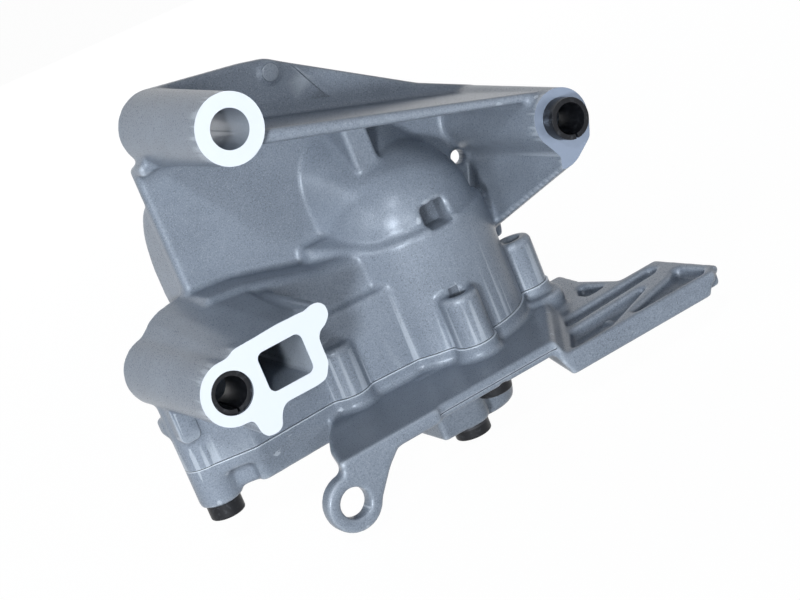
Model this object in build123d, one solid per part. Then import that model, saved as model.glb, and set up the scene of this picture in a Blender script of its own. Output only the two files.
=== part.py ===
from build123d import *
import math
import os

os.makedirs("parts", exist_ok=True)

# Engine oil pump: a die-cast housing and cover round a gerotor set, hung under an engine block.
# Lengths are millimetres. Pieces are drawn from the drum's axis at the joint face between housing
# and cover: X runs along the tray, Y away from the block's mounting faces and Z up the pump.
# They are saved with the origin at the mouth of the drive bore, on the shaft's own axis.

# Mounting bosses: they all end on the machined plane that meets the engine block
mount_y = -50.0
upper_boss_x, upper_boss_z = -56.9, 91.5
upper_boss_r, upper_bore_r = 9.9, 5.5
left_boss_x, left_boss_z = -85.1, 27.9
left_boss_r = 9.2
right_boss_x, right_boss_z = 35.7, 52.8
right_boss_r = 8.8
boss_draft = 1.2
tail_reach, tail_drop = 8.6, 12.9

# Hollow dowel sleeves in the left and the right boss
sleeve_r, sleeve_bore_r = 6.0, 4.5
sleeve_length, sleeve_chamfer = 14.0, 0.5
left_sleeve_recess, right_sleeve_stand = 2.5, 5.0

# Wall behind the bosses
wall_front, wall_thickness = 4.0, 4.5
wall_left, wall_foot_z = -69.2, 15.0
wall_tip_x, wall_tip_z = 34.0, 25.5
wall_margin, wall_corner_drop = 1.2, 7.5
wall_ridge = ((30.3, 6.4), (38.2, 4.6), (44.5, 0.6))
ejector_shift, ejector_rise, ejector_r, ejector_stand = 37.5, 0.7, 3.3, 0.6
ledge_front, ledge_drop, ledge_width = -1.5, 10.5, 23.0
drain_x, drain_z, drain_r = 27.0, 43.7, 2.2

# Ribs that stand on the wall, and the cast pad between wall and dome
rib_front, rib_round = -46.0, 0.9
rib_left_z_drop, rib_right_z_rise = 3.9, 7.2
rib_left_half, rib_right_half = 2.2, 1.3
lower_rib_thickness, lower_rib_lean, lower_rib_foot_z = 3.9, 12.0, 14.0
lower_rib_front_z, lower_rib_back_z = 40.5, 16.5
pad_x, pad_rise, pad_width, pad_height, pad_front = -7.5, 27.0, 8.0, 19.0, -10.0

# Drum with its shoulder, dome, neck and the square core pocket in the dome's flank
drum_r, drum_height = 25.0, 36.0
dome_r, dome_z = drum_r - 2.3, drum_height + 1.0
shoulder_round = 1.8
collar_reach, collar_top_z, collar_round = drum_r + 8.0, drum_height + 5.0, 2.0
neck_left, neck_right, neck_top = dome_r + 1.9, dome_r - 1.2, 34.0
neck_root, neck_front = 0.62, 12.0
pocket_x, pocket_z = 1.2, 38.1
pocket_width, pocket_height, pocket_floor_y = 8.0, 7.2, -dome_r + 5.7

# Outlet port beside the left boss, and the crown of the block behind it
port_x, port_z = -68.2, 28.3
port_width, port_height, port_round = 13.8, 11.6, 2.0
duct_height, duct_front, duct_back = 8.0, -6.0, 2.0
port_face = ((-15.6, 8.1), (-11.9, 10.1), (8.0, 10.5), (10.7, 10.2), (12.5, 10.9), (15.0, 10.8), (16.8, 9.0),
             (16.8, 6.4), (14.5, 4.0), (12.5, 3.4), (11.4, 1.5), (11.4, -5.5), (9.1, -9.3), (6.2, -9.9),
             (-4.1, -9.8), (-5.7, -10.8), (-6.9, -12.9), (-7.5, -15.0), (-9.3, -16.2), (-12.5, -15.9),
             (-13.9, -14.0), (-14.4, -10.0))
port_face_round = 0.8
block_back = 9.0
block_round, block_front, block_rear = 3.0, ((-74.3, -14.6), (-47.9, -13.2)), (-72.0, 25.0)
crown_rise, crown_front_y, crown_rear_y = 16.0, mount_y + 0.5, 9.0
crown_front = ((-21.8, -20.3), (-20.3, -8.8), (-13.8, -6.9), (-7.8, -5.9), (2.2, -5.1), (8.2, -5.9),
               (9.7, -20.3))
crown_rear = ((-23.8, -20.3), (-19.8, -7.8), (-13.3, -2.6), (-9.4, -1.1), (-1.0, 0.0), (12.2, -1.5),
              (18.2, -20.3))
arm_front, arm_back, arm_round = -12.5, 22.0, 4.0
arm_top = ((10.2, -0.9), (17.4, -2.8), (33.5, -7.3))
arm_low_z, arm_right, arm_round_low_z = 16.0, -12.0, 33.9

# Cover screws, all of one size, in bosses round the joint
screw_places = ((-86.4, -3.4), (-40.2, -11.7), (-3.9, -drum_r - 1.3), (drum_r + 3.9, -4.5),
                (6.0, drum_r + 3.5), (-36.0, 25.0), (-71.0, 20.0))
screw_boss_r, screw_boss_height, screw_boss_round = 6.0, 15.5, 1.0
corner_boss_r = 6.6
screw_r, screw_fit = 3.0, 0.05
boss_hole_r = 2.2
screw_head_r, screw_head_height, head_round = 5.3, 4.6, 0.6
screw_hex_af, screw_hex_depth = 5.0, 2.6
screw_seat_z, screw_tip_z = -12.4, 13.0
seat_relief = 0.5

# Small cast pads at the corner boss
flat_pad_width, flat_pad_low_z, flat_pad_high_z = 6.2, 9.3, 22.0
flat_pad_stand, flat_pad_shift = 0.7, 2.9
lump_low_z, lump_high_z, lump_stand, lump_width, lump_shift = 10.8, 16.2, 0.4, 5.0, 4.6

# Rotor set: the outer rotor has one lobe more than the inner one
inner_lobes = 6
outer_lobes = inner_lobes + 1
rotor_fit, drum_wall = 0.08, 3.52
outer_rotor_r = drum_r - drum_wall - rotor_fit
lobe_circle_r = outer_rotor_r - 4.6
lobe_r, eccentricity = 0.25 * lobe_circle_r, 0.1131 * lobe_circle_r
lobe_clearance, root_clearance = 0.06, 0.2
rotor_height = 18.0
rotor_end_gap = 0.05
kidney_outer_r, kidney_width, kidney_half_gap, kidney_half_height = lobe_circle_r + 1.0, 6.2, 4.0, 14.0
kidney_height = 12.0
cover_kidney_depth = 1.6

# Shaft, key, bushes and the drive end in the cover's hub
shaft_r, shaft_fit, shaft_chamfer = 6.0, 0.03, 0.6
key_width, key_height, key_length, key_fit = 3.0, 3.0, 10.0, 0.03
bush_wall, bush_length, bush_setback = 2.0, 14.0, 1.0
shaft_top_z, shaft_end_gap = 40.0, 1.5
hub_r, hub_nose_r, hub_nose_z, hub_round = 16.3, 11.0, -28.0, 2.0
drive_bore_r, drive_bore_depth = 7.0, 4.0
drive_hex_af, drive_hex_depth = 7.0, 9.0

# Cover casting
flange_lip, flange_depth = 0.6, 3.8
cover_depth, cover_inset = 10.5, 1.2
corner_pocket_x, corner_pocket_inset = -76.3, 3.0
tray_top_z, tray_thickness, tray_right = -4.2, 3.6, 8.0
tray_left = ((-65.6, mount_y), (-61.5, -35.0), (-56.7, -24.0), (-52.2, -16.7), (-47.0, -10.5), (-40.0, 0.0))
tray_rear, tray_edge = (38.0, 2.0), ((31.0, -9.0), (22.6, -22.3))
lip_left, lip_right, lip_width, lip_drop = -47.0, 7.0, 2.4, 1.0
land_r, land_stand = 9.4, 1.3
wing_top_z, wing_thickness, wing_pocket_depth, wing_round = -9.5, 6.8, 3.4, 1.2
wing_left, wing_right, wing_back = 10.0, 69.3, 18.0
wing_pockets = (((46.6, -0.3), (49.4, -12.6), (42.2, -14.1), (42.0, -8.3)),
                ((27.5, -22.0), (62.0, -18.8), (63.5, -21.8), (59.5, -25.2), (24.0, -29.2)),
                ((22.0, -33.6), (54.4, -30.5), (61.5, -26.5), (28.5, -46.6), (14.0, -47.2)),
                ((33.0, -46.8), (59.0, -35.0), (64.6, -30.0), (66.0, -43.5), (63.2, -46.8)))
wing_edge = ((-4.3, 0.0), (-2.3, 2.4), (0.0, 3.5), (-1.6, 35.2), (-15.7, 34.8))
wing_rear = ((50.0, 3.0), (51.5, wing_back), (32.0, wing_back), (24.0, -8.0), (15.0, -28.0))
wing_gate = ((-6.9, -1.0), (-6.9, 1.4), (-5.1, 3.3), (1.0, 5.0), (1.0, -1.0))
wing_gate_depth = 5.0
wing_pin_x, wing_pin_y, wing_pin_r, wing_pin_height = 33.6, -36.4, 1.4, 1.4
step_wall_thickness, step_wall_run = 3.5, 6.0
step_wall_rear_x, step_wall_rear_y = 40.0, 14.0
lug_x, lug_z = -65.4, -16.6
lug_hole_r, lug_eye_r, lug_thickness = 4.4, 8.5, 5.5
lug_chamfer = 0.5
lug_web = ((-6.5, 5.5), (1.3, 9.4), (18.8, 12.4), (20.0, 9.6), (13.6, 4.1), (8.1, -2.6))

# Relief valve in a block under the cover
valve_x, valve_y = -10.4, -14.6
valve_bottom_z, valve_bore_top_z = -25.6, -6.5
valve_bore_r, valve_wall = 4.0, 2.7
valve_block_left, valve_block_depth, valve_block_low_z = -22.6, 19.0, -25.2
valve_inlet_r, valve_inlet_x, valve_inlet_y = 2.0, 0.8, 1.2
spill_r, spill_z = 1.3, -9.4
piston_length, piston_fit = 7.0, 0.04
piston_wall, piston_crown, piston_gap, piston_chamfer = 1.2, 2.0, 0.05, 0.5
plug_thread_length, plug_head_r, plug_head_height = 5.0, 5.6, 3.0
plug_washer_thickness = 0.8
spring_wire_r, spring_turns, spring_fit = 0.55, 4.0, 0.15

# Suction chamber behind the wall, with its port on the far side
chamber_left, chamber_right = -69.0, 14.0
chamber_low_z, chamber_drop, chamber_back, chamber_bulge = 34.0, 19.0, 24.0, 2.0
chamber_wall = 4.0
top_of_throat = chamber_low_z + chamber_wall + 8.0
throat_x, throat_y, throat_width, throat_height = 7.5, 12.5, 7.0, 8.0
suction_x, suction_z = -38.0, 53.0
suction_r, suction_flange_r, suction_reach, suction_depth = 9.5, 14.5, 5.0, 19.0
suction_bolt_spacing, suction_bolt_r, suction_bolt_depth = 36.0, 2.5, 12.0
suction_ear_r, suction_ear_depth = 6.0, 16.0
seal_r, seal_section_r, seal_stand, seal_fit = 12.0, 1.1, 0.3, 0.1

# Hollow dowels between housing and cover, and the plug that closes the outlet gallery
front_dowel_place, rear_dowel_place = (-60.0, -7.0), (-20.0, 22.5)
dowel_r, dowel_bore_r, dowel_length, dowel_fit = 3.4, 2.4, 9.0, 0.02
gallery_plug_r, gallery_plug_length = 5.0, 7.0
gallery_bore_r, gallery_boss_r = 4.0, 8.0

# Retaining rings on the shaft, one on each side of the inner rotor
clip_r, clip_groove_r, clip_thickness, clip_gap = 7.4, 5.3, 1.0, 5.0
clip_heights = (rotor_height, rotor_end_gap - clip_thickness)

# Where the bolted suction face stands, and how far one solid runs into the next or a cut past a face
wall_back = wall_front + wall_thickness
suction_face_y = chamber_back + chamber_bulge + suction_reach
overlap = 1.0


def across_y(profile, front, back, draft=0.0):
    """A solid whose X-Z profile stands between two planes across Y, widening backwards."""
    return extrude(Plane.XZ.offset(-front) * profile, front - back, taper=-draft)


def along_x(profile, left, right):
    """A solid whose Y-Z profile runs from left to right along X."""
    return extrude(Plane.YZ.offset(left) * profile, right - left)


def upright(profile, low, high):
    """A solid whose X-Y profile stands between two heights."""
    return extrude(Pos(0, 0, low) * profile, high - low)


def outline(*points):
    """A flat face inside a closed run of straight edges."""
    return make_face(Polyline(*points, close=True))


def rounded_outline(radius, *points):
    """The same face with every corner rounded."""
    return offset(offset(outline(*points), -radius), radius)


def hexagon(across_flats):
    return RegularPolygon(across_flats / 2, 6, major_radius=False)


def block_plan():
    """Plan of the casting between the corner screw and the drum."""
    corner_x, corner_y = screw_places[0]
    corner = (corner_x - corner_boss_r + block_round + 2.0, corner_y - corner_boss_r + 1.0)
    return rounded_outline(block_round, corner, *block_front, (-0.64 * drum_r, -0.68 * drum_r),
                           (-8.0, drum_r + 1.0), block_rear)


def joint_plan(grow=0.0):
    """Outline shared by housing and cover where they meet; it stays flush at the corner screw."""
    corner_x, corner_y = screw_places[0]
    plan = Circle(drum_r + grow) + offset(block_plan(), grow)
    for x, y in screw_places[1:]:
        plan += Pos(x, y) * Circle(screw_boss_r + grow)
    return plan + Pos(corner_x, corner_y) * Circle(corner_boss_r + min(grow, 0.0))


def wall():
    """Wall in the X-Z plane, tangent to the upper and the right boss."""
    ridge = [(upper_boss_x + run, upper_boss_z + rise) for run, rise in wall_ridge]
    top = (upper_boss_x + 0.9, upper_boss_z + upper_boss_r + wall_margin)
    corner_z = upper_boss_z - wall_corner_drop
    plate = outline((wall_left, wall_foot_z), (wall_left, corner_z), (upper_boss_x, corner_z), top, *ridge,
                    (right_boss_x - 11.6, right_boss_z + right_boss_r + 7.9),
                    (right_boss_x + 4.9, right_boss_z + right_boss_r),
                    (right_boss_x + right_boss_r, right_boss_z - 5.4), (wall_tip_x, wall_tip_z),
                    (wall_tip_x - 2.0, wall_foot_z))
    plate += Pos(upper_boss_x, upper_boss_z) * Circle(upper_boss_r + 1.0)
    plate += Pos(right_boss_x, right_boss_z) * Circle(right_boss_r + 1.0)
    pad = Pos(upper_boss_x + ejector_shift, upper_boss_z + ejector_rise) * Circle(ejector_r)
    ledge_low = upper_boss_z - ledge_drop
    step = outline((wall_left, ledge_low), (wall_left, corner_z), (upper_boss_x, upper_boss_z),
                   (wall_left + ledge_width, upper_boss_z), (wall_left + ledge_width, ledge_low + 2.5))
    solid = across_y(plate, wall_front, wall_back)
    solid += across_y(pad, wall_front - ejector_stand, wall_front + overlap)
    return solid + across_y(step, ledge_front, wall_front + overlap)


def bosses():
    """The upper and the right boss, drafted, with the tail under the right one."""
    upper = across_y(Pos(upper_boss_x, upper_boss_z) * Circle(upper_boss_r), mount_y, wall_back, boss_draft)
    right = across_y(Pos(right_boss_x, right_boss_z) * Circle(right_boss_r), mount_y, wall_back, boss_draft)
    low = right_boss_z - tail_drop
    tail = outline((right_boss_x + tail_reach, right_boss_z - 2.8), (right_boss_x + 6.5, low + 4.4),
                   (right_boss_x, low), (right_boss_x - 3.1, low + 0.7), (right_boss_x - 6.7, low + 7.1))
    return upper + right + across_y(tail, mount_y, wall_back)


def upper_rib():
    """Rib from the upper boss to the top of the right boss, thinner towards the right."""
    left_z = upper_boss_z - rib_left_z_drop
    right_z = right_boss_z + rib_right_z_rise
    bar = outline((upper_boss_x, left_z + rib_left_half), (right_boss_x, right_z + rib_right_half),
                  (right_boss_x, right_z - rib_right_half), (upper_boss_x, left_z - rib_left_half))
    rib = across_y(bar, rib_front, wall_back)
    long_edges = rib.edges().group_by(Axis.Y)[0].sort_by(SortBy.LENGTH)[-2:]
    return fillet(long_edges, rib_round)


def lower_rib():
    """Rib from the right boss down to the drum; its free edge runs back as it falls."""
    top_x, top_z = right_boss_x - 3.2, right_boss_z - 6.8
    trace = outline((top_x, top_z), (top_x - lower_rib_lean, lower_rib_foot_z),
                    (top_x - lower_rib_lean + lower_rib_thickness, lower_rib_foot_z - 1.2),
                    (top_x + lower_rib_thickness, top_z - 1.2))
    below = outline((mount_y - overlap, lower_rib_front_z), (wall_front + 2.0, lower_rib_back_z),
                    (wall_front + 2.0, 0.0), (mount_y - overlap, 0.0))
    return across_y(trace, mount_y, wall_back) - along_x(below, top_x - 25.0, top_x + 15.0)


def port_block():
    """Block behind the machined face round the left boss and the outlet port."""
    ring = Pos(left_boss_x, left_boss_z) * Circle(left_boss_r)
    face = [(port_x + run, port_z + rise) for run, rise in port_face]
    solid = across_y(rounded_outline(port_face_round, *face), mount_y, block_back)
    return solid + across_y(ring, mount_y, block_back, boss_draft)


def crown():
    """Drafted crown over the block, from the machined face back to the body."""
    top = port_z + crown_rise
    front = outline(*[(port_x + run, top + rise) for run, rise in crown_front])
    rear = outline(*[(port_x + run, top + rise) for run, rise in crown_rear])
    return loft([Plane.XZ.offset(-crown_front_y) * front, Plane.XZ.offset(-crown_rear_y) * rear])


def arm():
    """Body between the crown and the drum, with a rounded upper front edge."""
    top = port_z + crown_rise
    ridge = [(port_x + run, top + rise) for run, rise in arm_top]
    shoulder = outline((wall_left, arm_low_z), (wall_left, top), *ridge, (arm_right, drum_height - 0.5),
                       (arm_right, arm_low_z))
    body = across_y(shoulder, arm_front, arm_back)
    front_edges = body.edges().group_by(Axis.Y)[0]
    return fillet(front_edges.filter_by(lambda edge: edge.center().Z > arm_round_low_z), arm_round)


def screw_bosses():
    """Bosses for the cover screws, standing on the joint face."""
    solids = Part()
    for number, (x, y) in enumerate(screw_places):
        radius = corner_boss_r if number == 0 else screw_boss_r
        height = left_boss_z if number == 0 else screw_boss_height
        boss = upright(Pos(x, y) * Circle(radius), 0.0, height)
        solids += fillet(boss.edges().group_by(Axis.Z)[-1], screw_boss_round)
    return solids


def corner_pads():
    """Flat pad on the front of the corner boss and a small lump on its far side."""
    x, y = screw_places[0]
    front = y - corner_boss_r - flat_pad_stand
    middle_z = (flat_pad_low_z + flat_pad_high_z) / 2
    profile = RectangleRounded(flat_pad_width, flat_pad_high_z - flat_pad_low_z, flat_pad_width / 3)
    pad = across_y(Pos(x - flat_pad_shift, middle_z) * profile, front, y)
    left = x - corner_boss_r - lump_stand
    lump = Pos((left + x) / 2, y + lump_shift) * Rectangle(x - left, lump_width)
    return pad + upright(lump, lump_low_z, lump_high_z)


def drum():
    """Rotor drum with the dome over the shaft's upper bearing."""
    barrel = upright(Circle(drum_r), 0.0, drum_height)
    barrel = fillet(barrel.edges().group_by(Axis.Z)[-1], shoulder_round)
    neck = upright(Circle(dome_r), drum_height - 5.0, dome_z)
    dome = Pos(0, 0, dome_z) * Sphere(dome_r)
    return barrel + neck + dome


def collar():
    """Shoulder of the drum on its left, which rises to meet the wall."""
    plan = outline((-0.8 * drum_r, -0.6 * drum_r), (-collar_reach + 0.5, -1.0), (-collar_reach, wall_back),
                   (0.0, wall_back), (0.0, -0.6 * drum_r))
    solid = upright(plan, drum_height - 14.0, collar_top_z + 4.0)
    above = outline((-drum_r - 5.0, drum_height - 1.0), (-0.64 * drum_r, drum_height - 0.2),
                    (wall_front - 4.0, collar_top_z), (wall_back + overlap, collar_top_z),
                    (wall_back + overlap, collar_top_z + 10.0), (-drum_r - 5.0, collar_top_z + 10.0))
    solid -= along_x(above, -collar_reach - overlap, overlap)
    return fillet(solid.edges().filter_by(lambda edge: edge.center().Z > drum_height
                                          and edge.center().X < -0.7 * drum_r
                                          and edge.center().Y < wall_front), collar_round)


def dome_neck():
    """Flared neck that joins the dome to the wall."""
    flare = [(-neck_left, 0.0), (-neck_left - 0.2, 16.0), (-neck_left + 1.2, 25.0), (-neck_left + 7.4, 32.2),
             (-6.0, neck_top), (neck_right - 15.0, 30.0), (neck_right - 5.5, 20.0), (neck_right, 10.0),
             (neck_right + 0.5, 0.0)]
    wide = [(run, drum_height + rise) for run, rise in flare]
    narrow = [(neck_root * run, drum_height + overlap + rise / 2) for run, rise in flare]
    root = Plane.XZ.offset(neck_front) * closed_curve(narrow)
    return loft([root, Plane.XZ.offset(-wall_front - 0.5) * closed_curve(wide)])


def closed_curve(points):
    """A flat face under one smooth curve, closed by a straight foot."""
    return make_face([Spline(*points), Line(points[-1], points[0])])


def cast_pad():
    """Upright cast pad between the upper rib and the dome's left flank."""
    profile = Pos(pad_x, dome_z + pad_rise) * RectangleRounded(pad_width, pad_height, pad_width / 2 - 0.1)
    return across_y(profile, pad_front, wall_front + overlap)


def chamber_profile(inset=0.0):
    """Y-Z profile of the suction chamber behind the wall, or of its hollow."""
    front = wall_front + overlap + inset
    low = chamber_low_z + inset
    high = upper_boss_z - chamber_drop - inset
    back = chamber_back - inset
    middle = (low + high) / 2
    ceiling = front + (chamber_back - wall_front) / 6
    floor = Line((front, low), (back, low))
    side = ThreePointArc((back, low), (back + chamber_bulge, middle), (ceiling, high))
    return make_face([floor, side, Line((ceiling, high), (front, high)), Line((front, high), (front, low))])


def suction_flange():
    """Round suction neck with two tapped ears on the chamber's far side."""
    front = suction_face_y - suction_ear_depth
    neck = across_y(Pos(suction_x, suction_z) * Circle(suction_flange_r), front, suction_face_y)
    ears = Pos(suction_x, suction_z) * SlotCenterToCenter(suction_bolt_spacing, 2 * suction_ear_r)
    return neck + across_y(ears, front, suction_face_y)


def kidneys():
    """Outlet kidney on the left and inlet kidney on the right of the rotor set."""
    band = Circle(kidney_outer_r) - Circle(kidney_outer_r - kidney_width)
    sides = Rectangle(2 * drum_r, 2 * kidney_half_height) - Rectangle(2 * kidney_half_gap, 2 * drum_r)
    return band & sides


def housing_passages():
    """Rotor pocket, kidneys, outlet duct, suction duct and chamber as one cutting solid."""
    pocket_top = rotor_height + rotor_end_gap
    cut = upright(Circle(outer_rotor_r + rotor_fit), -overlap, pocket_top)
    cut += upright(kidneys(), pocket_top - overlap, rotor_height + kidney_height)
    outlet = Pos(port_x, port_z) * RectangleRounded(port_width, port_height, port_round)
    cut += across_y(outlet, mount_y - overlap, duct_back)
    kidney_x = -kidney_outer_r + kidney_width
    cross = Pos((port_x + kidney_x) / 2, port_z - 1.8) * Rectangle(kidney_x - port_x, duct_height)
    cut += across_y(cross, duct_front, duct_back)
    cut += across_y(Pos(port_x, port_z) * Circle(gallery_bore_r), 0.0, arm_back)
    cut += across_y(Pos(port_x, port_z) * Circle(gallery_plug_r), arm_back - gallery_plug_length,
                    arm_back + overlap)
    throat = Pos(throat_x, throat_y) * Rectangle(throat_width, throat_height)
    cut += upright(throat, rotor_height + 2.0, top_of_throat)
    cut += along_x(chamber_profile(chamber_wall), chamber_left + chamber_wall, chamber_right - chamber_wall)
    return cut + across_y(Pos(suction_x, suction_z) * Circle(suction_r), suction_face_y - suction_depth,
                          suction_face_y + overlap)


def suction_bores():
    """Tapped holes and the seal's groove in the suction flange."""
    groove = Circle(seal_r + seal_section_r + seal_fit) - Circle(seal_r - seal_section_r - seal_fit)
    groove_floor = suction_face_y + seal_stand - 2 * seal_section_r
    cut = across_y(Pos(suction_x, suction_z) * groove, groove_floor, suction_face_y + overlap)
    for side in (-1, 1):
        bolt = Pos(suction_x + side * suction_bolt_spacing / 2, suction_z) * Circle(suction_bolt_r)
        cut += across_y(bolt, suction_face_y - suction_bolt_depth, suction_face_y + overlap)
    return cut


def mount_bores():
    """Bolt bores of the three bosses, with the seats of the two dowel sleeves."""
    deep = wall_back + 20.0
    cut = across_y(Pos(upper_boss_x, upper_boss_z) * Circle(upper_bore_r), mount_y - overlap, deep)
    for x, z, start in ((left_boss_x, left_boss_z, left_sleeve_recess),
                        (right_boss_x, right_boss_z, -right_sleeve_stand)):
        cut += across_y(Pos(x, z) * Circle(sleeve_r), mount_y - overlap, mount_y + start + sleeve_length)
        cut += across_y(Pos(x, z) * Circle(sleeve_bore_r), mount_y, deep)
    return cut


def housing():
    body = drum() + dome_neck() + collar() + port_block() + crown() + arm()
    body += upright(block_plan(), 0.0, 24.0) + screw_bosses() + corner_pads()
    body += wall() + bosses() + upper_rib() + lower_rib() + cast_pad()
    body += along_x(chamber_profile(), chamber_left, chamber_right) + suction_flange()
    body += across_y(Pos(port_x, port_z) * Circle(gallery_boss_r), 0.0, arm_back)
    body -= housing_passages() + suction_bores()
    body -= mount_bores()
    bush_seat = Pos(0, -eccentricity) * Circle(shaft_r + bush_wall)
    body -= upright(bush_seat, rotor_height, shaft_top_z + shaft_end_gap)
    core = Pos(pocket_x, pocket_z) * Rectangle(pocket_width, pocket_height)
    body -= across_y(core, -drum_r - overlap, pocket_floor_y)
    body -= across_y(Pos(drain_x, drain_z) * Circle(drain_r), 0.0, wall_back + 3.0)
    for x, y in screw_places:
        body -= upright(Pos(x, y) * Circle(screw_r), -overlap, screw_tip_z + overlap)
        body -= upright(Pos(x, y) * Circle(boss_hole_r), screw_tip_z, screw_boss_height + overlap)
    for x, y in (front_dowel_place, rear_dowel_place):
        body -= upright(Pos(x, y) * Circle(dowel_r + dowel_fit), -overlap, dowel_length / 2)
    return body


def tray():
    """Tray in front of the joint with a lipped front edge."""
    low = tray_top_z - tray_thickness
    plan = outline(*tray_left, tray_rear, *tray_edge, (tray_right, mount_y))
    lip = Rectangle(lip_right - lip_left, lip_width)
    lip = Pos((lip_left + lip_right) / 2, mount_y + lip_width / 2) * lip
    solid = upright(plan, low, tray_top_z) + upright(lip, low - lip_drop, tray_top_z)
    x, y = screw_places[3]
    land = upright(Pos(x - 1.0, y - 2.0) * Circle(land_r), low, tray_top_z + land_stand)
    return solid + land


def wing():
    """Lower plate to the right of the tray, lightened by pockets between ribs."""
    low = wing_top_z - wing_thickness
    edge = [(wing_right + run, mount_y + depth) for run, depth in wing_edge]
    plate = upright(outline((wing_left, mount_y), *edge, *wing_rear), low, wing_top_z)
    floor = wing_top_z - wing_pocket_depth
    for corners in wing_pockets:
        plate -= upright(rounded_outline(wing_round, *corners), floor, wing_top_z + overlap)
    pin = Pos(wing_pin_x, wing_pin_y) * Circle(wing_pin_r)
    plate += upright(pin, floor - overlap, floor + wing_pin_height)
    gate = outline(*[(wing_right + run, low + rise) for run, rise in wing_gate])
    return plate - across_y(gate, mount_y - overlap, mount_y + wing_gate_depth)


def step_wall():
    """Sloping wall that drops from the tray to the wing."""
    left = tray_right - step_wall_thickness
    edge = ((tray_right, mount_y), tray_edge[0], (step_wall_rear_x, step_wall_rear_y))
    top = outline((left, mount_y), *edge, (step_wall_rear_x - 6.0, step_wall_rear_y))
    shifted = [(x + step_wall_run, y) for x, y in edge]
    foot = outline((left + step_wall_run, mount_y), *shifted, (step_wall_rear_x - 1.0, step_wall_rear_y))
    return loft([Pos(0, 0, tray_top_z) * top, Pos(0, 0, wing_top_z - wing_thickness) * foot])


def lug():
    """Eye plate that hangs from the tray's left front corner, with chamfered edges."""
    eye = Pos(lug_x, lug_z) * Circle(lug_eye_r)
    plate = outline(*[(lug_x + run, lug_z + rise) for run, rise in lug_web], (lug_x, lug_z))
    solid = across_y(eye + plate, mount_y, mount_y + lug_thickness)
    solid -= across_y(Pos(lug_x, lug_z) * Circle(lug_hole_r), mount_y - overlap,
                      mount_y + lug_thickness + overlap)
    front_rings = solid.edges().group_by(Axis.Y)[0].filter_by(GeomType.CIRCLE)
    return chamfer(front_rings, lug_chamfer)


def hub():
    """Bearing hub under the cover, drafted to a rounded nose."""
    height = -hub_nose_z - flange_depth
    solid = Cone(hub_nose_r, hub_r, height, align=(Align.CENTER, Align.CENTER, Align.MIN))
    solid = Pos(0, -eccentricity, hub_nose_z) * solid
    return fillet(solid.edges().group_by(Axis.Z)[0], hub_round)


def valve_block():
    """Block and round end under the cover that hold the relief valve."""
    radius = valve_bore_r + valve_wall
    front = valve_y - radius
    width = valve_x - valve_block_left
    middle = Pos(valve_block_left + width / 2, front + valve_block_depth / 2)
    block = middle * Rectangle(width, valve_block_depth)
    column = upright(Pos(valve_x, valve_y) * Circle(radius), valve_bottom_z, -flange_depth)
    return column + upright(block, valve_block_low_z, -flange_depth)


def cover_body():
    """Flange with the deeper body under it, stepped back near the corner screw."""
    body = upright(joint_plan(flange_lip), -flange_depth, 0.0)
    body += upright(joint_plan(-cover_inset), -cover_depth, 0.0)
    reach = collar_reach - corner_pocket_x
    right_of_step = Pos(corner_pocket_x + reach / 2, 0.0) * Rectangle(reach, reach)
    body += upright(block_plan() & right_of_step, -cover_depth, 0.0)
    left_of_step = Pos(corner_pocket_x - reach / 2, 0.0) * Rectangle(reach, reach)
    hollow = left_of_step - offset(block_plan(), -corner_pocket_inset)
    body -= upright(hollow, -cover_depth - overlap, -flange_depth)
    for number, (x, y) in enumerate(screw_places):
        radius = corner_boss_r if number == 0 else screw_boss_r
        body += upright(Pos(x, y) * Circle(radius), screw_seat_z, -overlap)
    return body


def cover():
    body = cover_body() + hub() + valve_block() + tray() + step_wall() + wing() + lug()
    for x, y in screw_places:
        body -= upright(Pos(x, y) * Circle(screw_r + screw_fit), hub_nose_z, overlap)
        body -= upright(Pos(x, y) * Circle(screw_head_r + seat_relief), hub_nose_z, screw_seat_z)
    for x, y in (front_dowel_place, rear_dowel_place):
        body -= upright(Pos(x, y) * Circle(dowel_r + dowel_fit), -dowel_length / 2, overlap)
    body -= upright(kidneys(), -cover_kidney_depth, overlap)
    axis = Pos(0, -eccentricity)
    body -= upright(axis * Circle(shaft_r + bush_wall), hub_nose_z + drive_bore_depth, overlap)
    body -= upright(axis * Circle(drive_bore_r), hub_nose_z - overlap,
                    hub_nose_z + drive_bore_depth + overlap)
    valve = Pos(valve_x, valve_y)
    body -= upright(valve * Circle(valve_bore_r), valve_bottom_z - overlap, valve_bore_top_z)
    body -= upright(valve * Circle(plug_head_r + seat_relief), hub_nose_z - overlap, valve_bottom_z)
    inlet = valve * Pos(valve_inlet_x, valve_inlet_y) * Circle(valve_inlet_r)
    body -= upright(inlet, valve_bore_top_z - overlap, overlap)
    return body - across_y(Pos(valve_x, spill_z) * Circle(spill_r), valve_y - 2 * drum_r, valve_y)


def save(name, solid):
    """Write one piece, moved to the origin at the drive bore's mouth."""
    solid = Pos(0, eccentricity, -hub_nose_z) * solid
    solid.label = name
    export_step(solid, "parts/" + name + ".step")


def ring(outer, bore, low, high):
    """A plain bush or washer on the Z axis."""
    return upright(Circle(outer) - Circle(bore), low, high)


def cover_screws():
    """Socket-head screws that hold the cover, each with its head on the cover's underside."""
    shank = upright(Circle(screw_r - screw_fit), screw_seat_z, screw_tip_z)
    head = upright(Circle(screw_head_r), screw_seat_z - screw_head_height, screw_seat_z)
    head = fillet(head.edges().group_by(Axis.Z)[0], head_round)
    head -= upright(hexagon(screw_hex_af), screw_seat_z - screw_head_height - overlap,
                    screw_seat_z - screw_head_height + screw_hex_depth)
    return Compound(children=[Pos(x, y) * (shank + head) for x, y in screw_places])


def joint_dowel(place):
    """Hollow dowel that sets the cover to the housing."""
    return Pos(*place) * ring(dowel_r, dowel_bore_r, -dowel_length / 2, dowel_length / 2)


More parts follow.
